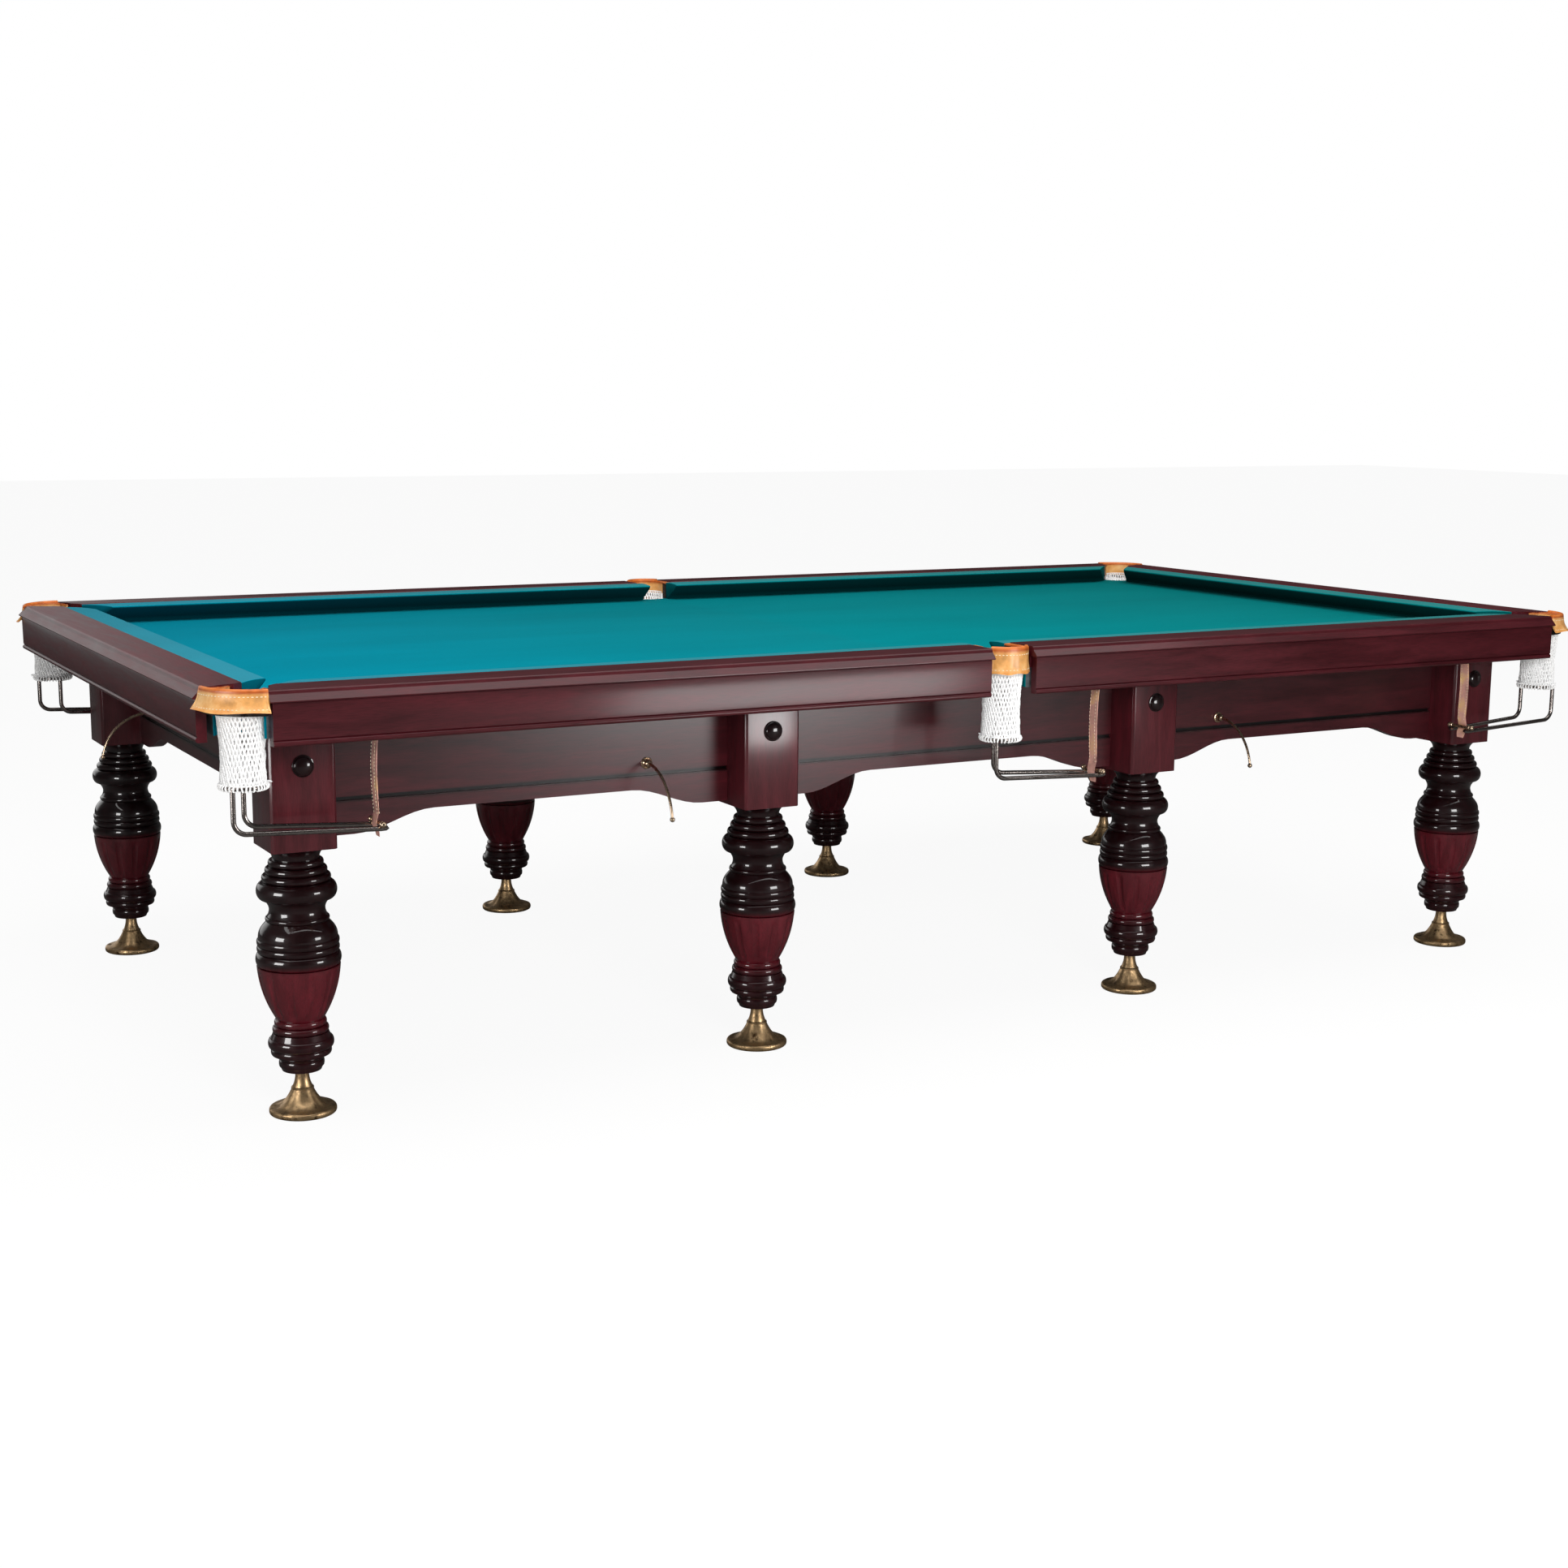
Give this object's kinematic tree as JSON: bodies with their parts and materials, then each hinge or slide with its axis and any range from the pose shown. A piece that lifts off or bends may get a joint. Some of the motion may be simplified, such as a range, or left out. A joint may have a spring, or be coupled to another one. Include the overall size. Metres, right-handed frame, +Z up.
{
  "type": "billiard table",
  "caption": "Large billiard table with a slate bed, cushioned rails, net pockets with ball runners, an arched apron and turned legs on levelling feet.",
  "frame": {"origin": "on the floor under the centre of the table", "axes": "+X along the table to the right as pictured, +Y across it to the far side, +Z up"},
  "size_m": [3.554, 1.954, 0.888],
  "materials": {
    "mahogany": "high gloss lacquer over dark mahogany",
    "frame_wood": "plain planed and stained",
    "cloth": "napped blue-green billiard cloth",
    "slate": "honed grey slate",
    "tan_leather": "smooth tan saddle leather",
    "net_cord": "white knotted cotton cord",
    "iron": "dark cast iron",
    "antique_brass": "dark antique brass",
    "polished_brass": "polished brass",
    "runner_steel": "bright drawn rod",
    "bolt_steel": "plain machine steel"
  },
  "bodies": {
    "table": {"leg_front_1": "mahogany", "leg_front_2": "mahogany", "leg_front_3": "mahogany", "leg_front_4": "mahogany", "leg_back_1": "mahogany", "leg_back_2": "mahogany", "leg_back_3": "mahogany", "leg_back_4": "mahogany", "rail_front_left": "mahogany", "rail_front_right": "mahogany", "rail_back_left": "mahogany", "rail_back_right": "mahogany", "rail_left_end": "mahogany", "rail_right_end": "mahogany", "cushion_front_left": "cloth", "cushion_front_right": "cloth", "cushion_back_left": "cloth", "cushion_back_right": "cloth", "cushion_left_end": "cloth", "cushion_right_end": "cloth", "fascia_front_left": "mahogany", "fascia_front_right": "mahogany", "fascia_back_left": "mahogany", "fascia_back_right": "mahogany", "fascia_left_end": "mahogany", "fascia_right_end": "mahogany", "leather_front_left": "tan_leather", "leather_front_middle": "tan_leather", "leather_front_right": "tan_leather", "leather_back_left": "tan_leather", "leather_back_middle": "tan_leather", "leather_back_right": "tan_leather", "pocket_irons": "iron", "corner_nets": "net_cord", "middle_nets": "net_cord", "apron_front": "mahogany", "apron_back": "mahogany", "apron_left_end": "mahogany", "apron_right_end": "mahogany", "long_beams": "frame_wood", "cross_beams": "frame_wood", "slates": "slate", "bed_cloth": "cloth", "net_rings": "runner_steel", "ball_runners": "runner_steel", "runner_straps": "tan_leather", "strap_bars": "polished_brass", "rest_hooks": "polished_brass", "bolt_covers": "mahogany", "block_bolts": "bolt_steel", "rail_bolts": "bolt_steel"},
    "levelling_foot_front_1": {"foot_front_1": "antique_brass"},
    "levelling_foot_front_2": {"foot_front_2": "antique_brass"},
    "levelling_foot_front_3": {"foot_front_3": "antique_brass"},
    "levelling_foot_front_4": {"foot_front_4": "antique_brass"},
    "levelling_foot_back_1": {"foot_back_1": "antique_brass"},
    "levelling_foot_back_2": {"foot_back_2": "antique_brass"},
    "levelling_foot_back_3": {"foot_back_3": "antique_brass"},
    "levelling_foot_back_4": {"foot_back_4": "antique_brass"}
  },
  "joints": [
    {"name": "foot_front_1_screw", "type": "slide", "parent": "table", "child": "levelling_foot_front_1", "axis": [0, 0, 1], "range_m": [-0.025, 0.008]},
    {"name": "foot_front_2_screw", "type": "slide", "parent": "table", "child": "levelling_foot_front_2", "axis": [0, 0, 1], "range_m": [-0.025, 0.008]},
    {"name": "foot_front_3_screw", "type": "slide", "parent": "table", "child": "levelling_foot_front_3", "axis": [0, 0, 1], "range_m": [-0.025, 0.008]},
    {"name": "foot_front_4_screw", "type": "slide", "parent": "table", "child": "levelling_foot_front_4", "axis": [0, 0, 1], "range_m": [-0.025, 0.008]},
    {"name": "foot_back_1_screw", "type": "slide", "parent": "table", "child": "levelling_foot_back_1", "axis": [0, 0, 1], "range_m": [-0.025, 0.008]},
    {"name": "foot_back_2_screw", "type": "slide", "parent": "table", "child": "levelling_foot_back_2", "axis": [0, 0, 1], "range_m": [-0.025, 0.008]},
    {"name": "foot_back_3_screw", "type": "slide", "parent": "table", "child": "levelling_foot_back_3", "axis": [0, 0, 1], "range_m": [-0.025, 0.008]},
    {"name": "foot_back_4_screw", "type": "slide", "parent": "table", "child": "levelling_foot_back_4", "axis": [0, 0, 1], "range_m": [-0.025, 0.008]}
  ]
}
